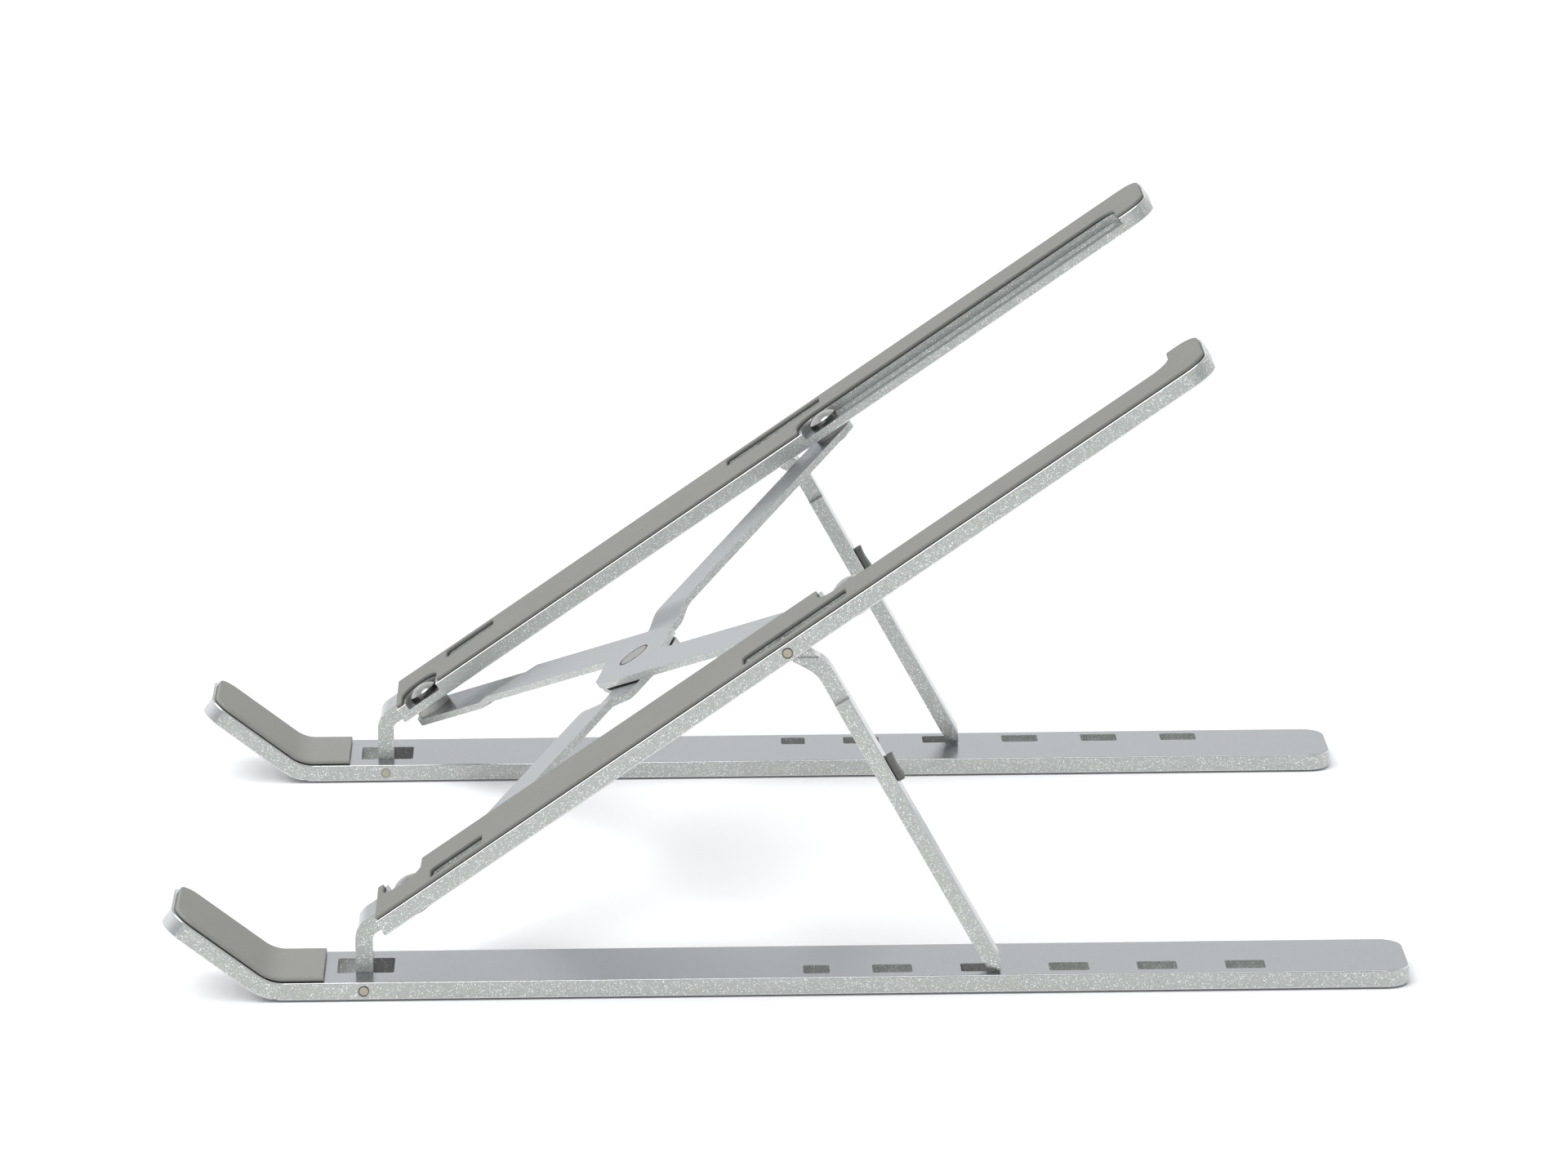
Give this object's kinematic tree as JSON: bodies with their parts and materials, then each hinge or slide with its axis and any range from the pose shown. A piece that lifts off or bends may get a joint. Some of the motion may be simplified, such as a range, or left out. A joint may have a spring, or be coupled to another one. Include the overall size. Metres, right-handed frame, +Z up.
{
  "type": "folding laptop stand",
  "caption": "Folding X-braced laptop stand with two hooked base bars, padded tilting arms, prop struts in a row of height slots and riveted crossed braces",
  "frame": {"origin": "middle of the stand's footprint, on the surface it stands on", "axes": "+X from the hooked front towards the rear, +Y across to the left-hand side as seen by a person at the hooked front, +Z up"},
  "size_m": [0.25, 0.189, 0.1302],
  "materials": {
    "silver_paint": "fine metallic silver, satin",
    "silicone": "matt grey silicone",
    "steel": "polished",
    "dark_rubber": "matt dark grey",
    "nylon": "smooth, translucent white"
  },
  "bodies": {
    "base_right": {"right_base_bar": "silver_paint", "right_hook_pad": "silicone", "right_front_foot": "silicone", "right_rear_foot": "silicone", "right_hinge_pin": "steel"},
    "arm_right": {"right_arm": "silver_paint", "right_arm_pad": "silicone", "right_strut_pin": "steel"},
    "strut_right": {"right_strut": "silver_paint", "right_strut_bumper": "dark_rubber"},
    "brace_low": {"lower_brace": "silver_paint", "right_front_rivet": "steel", "right_front_washer": "nylon", "left_slide_rivet": "steel", "left_slide_washer": "nylon"},
    "brace_up": {"upper_brace": "silver_paint", "left_front_rivet": "steel", "left_front_washer": "nylon", "right_slide_rivet": "steel", "right_slide_washer": "nylon", "centre_rivet": "steel", "centre_washer": "nylon"},
    "arm_left": {"left_arm": "silver_paint", "left_arm_pad": "silicone", "left_strut_pin": "steel"},
    "base_left": {"left_base_bar": "silver_paint", "left_hook_pad": "silicone", "left_front_foot": "silicone", "left_rear_foot": "silicone", "left_hinge_pin": "steel"},
    "strut_left": {"left_strut": "silver_paint", "left_strut_bumper": "dark_rubber"}
  },
  "joints": [
    {"name": "arm_tilt", "type": "hinge", "parent": "base_right", "child": "arm_right", "pos_m": [-0.0848, -0.08245, 0.0022], "axis": [0, -1, 0], "range_deg": [-22.9, 6]},
    {"name": "right_strut_swing", "type": "hinge", "parent": "arm_right", "child": "strut_right", "pos_m": [0.00025, -0.08896, 0.07092], "axis": [0, -1, 0], "range_deg": [-17.2, 65.4]},
    {"name": "width_fold", "type": "hinge", "parent": "arm_right", "child": "brace_low", "pos_m": [-0.07393, -0.0774, 0.01588], "axis": [0.565, 0, -0.8251], "range_deg": [0, 41]},
    {"name": "brace_cross", "type": "hinge", "parent": "brace_low", "child": "brace_up", "pos_m": [-0.0295, 0, 0.04631], "axis": [0.565, 0, -0.8251], "range_deg": [-82, 0]},
    {"name": "left_arm_fold", "type": "hinge", "parent": "brace_up", "child": "arm_left", "pos_m": [-0.07393, 0.0774, 0.01588], "axis": [0.565, 0, -0.8251], "range_deg": [0, 41]},
    {"name": "left_base_tilt", "type": "hinge", "parent": "arm_left", "child": "base_left", "pos_m": [-0.0848, 0.08245, 0.0022], "axis": [0, -1, 0], "range_deg": [-6, 22.9]},
    {"name": "left_strut_swing", "type": "hinge", "parent": "arm_left", "child": "strut_left", "pos_m": [0.00025, 0.08896, 0.07092], "axis": [0, -1, 0], "range_deg": [-17.2, 65.4]}
  ],
  "couplings": [
    {"joint": "right_strut_swing", "follows": "arm_tilt", "ratio": -2.85},
    {"joint": "left_strut_swing", "follows": "arm_tilt", "ratio": -2.85},
    {"joint": "left_base_tilt", "follows": "arm_tilt", "ratio": -1},
    {"joint": "brace_cross", "follows": "width_fold", "ratio": -2},
    {"joint": "left_arm_fold", "follows": "width_fold", "ratio": 1}
  ]
}
